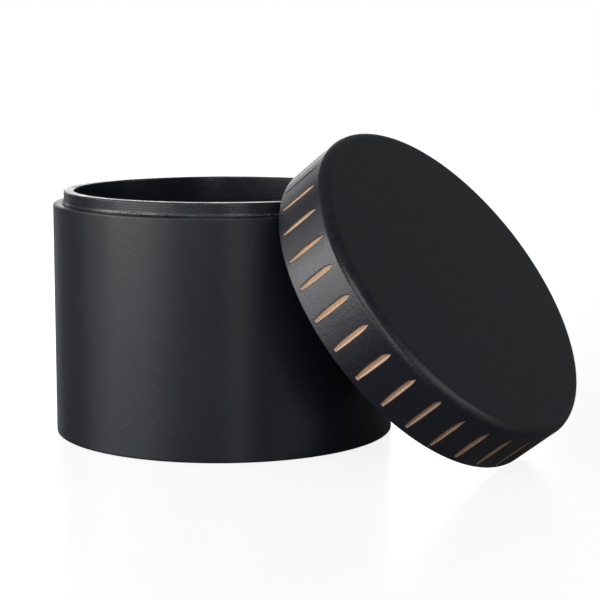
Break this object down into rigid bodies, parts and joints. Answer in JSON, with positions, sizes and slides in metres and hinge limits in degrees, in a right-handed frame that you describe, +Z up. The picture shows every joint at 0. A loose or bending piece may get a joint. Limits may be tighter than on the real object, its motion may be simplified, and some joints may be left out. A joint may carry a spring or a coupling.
{
  "type": "lidded candle canister",
  "caption": "Round black lacquered wood candle canister with a stepped neck; its notched cap lid is off and leans on it.",
  "frame": {"origin": "middle of the canister's underside, on the surface that it stands on", "axes": "+Z up along the canister's axis, +X towards the side on which the lid leans"},
  "size_m": [0.1573, 0.1, 0.0891],
  "materials": {
    "wall_lacquer": "satin black lacquer on wood, very fine orange peel",
    "sleeve_lacquer": "satin black lacquer on wood, fine turning lines",
    "base_lacquer": "thin matte black stain on wood",
    "lid_lacquer": "satin black lacquer on wood, with notches cut through to bare tan wood"
  },
  "bodies": {
    "canister": {"outer_wall": "wall_lacquer", "inner_sleeve": "sleeve_lacquer", "base_disc": "base_lacquer"},
    "lid": {"lid": "lid_lacquer"}
  },
  "joints": [
    {"name": "lid_lift", "type": "slide", "parent": "canister", "child": "lid", "axis": [0.7923, 0, 0.6101], "range_m": [0, 0.1]}
  ]
}
